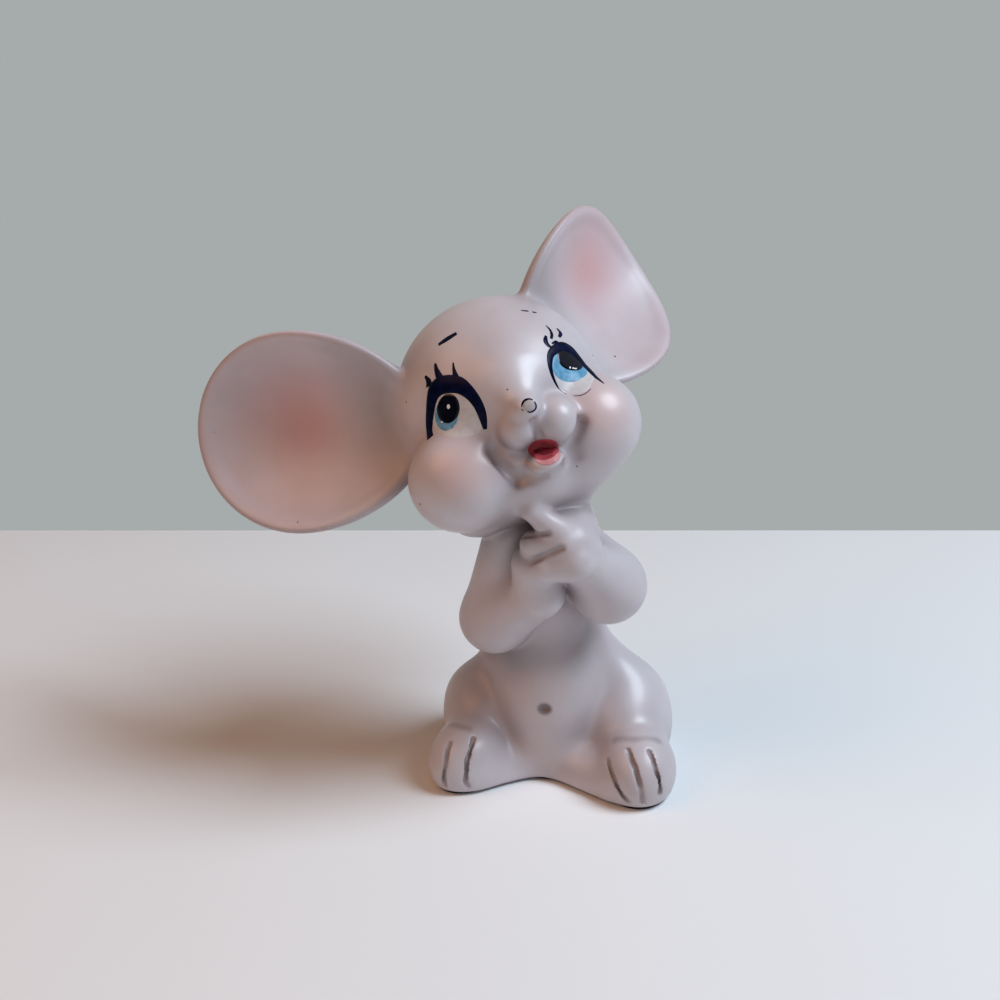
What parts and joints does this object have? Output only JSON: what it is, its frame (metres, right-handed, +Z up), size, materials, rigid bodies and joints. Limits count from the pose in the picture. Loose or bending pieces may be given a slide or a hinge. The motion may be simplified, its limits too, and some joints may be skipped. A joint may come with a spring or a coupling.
{
  "type": "mouse figurine",
  "caption": "Hollow glazed ceramic mouse that sits up with folded hands, tilted head and large dished ears, on a felt pad.",
  "frame": {"origin": "middle of the foot of the figurine, on the underside of the felt pad", "axes": "+Z up, the belly faces -Y, the viewer's left is -X and the viewer's right is +X"},
  "size_m": [0.0767, 0.0555, 0.088],
  "materials": {
    "glazed_body": "satin glaze, pale lilac pink",
    "glazed_head": "satin glaze with a hand-painted enamel face and airbrushed blush",
    "glazed_ears": "satin glaze with airbrushed pink inside the dish",
    "felt": "thin pressed wool felt"
  },
  "bodies": {
    "root": {"body_shell": "glazed_body", "head_shell": "glazed_head", "left_ear": "glazed_ears", "right_ear": "glazed_ears", "left_arm": "glazed_body", "right_arm": "glazed_body", "tail": "glazed_body", "felt_pad": "felt"}
  },
  "joints": []
}
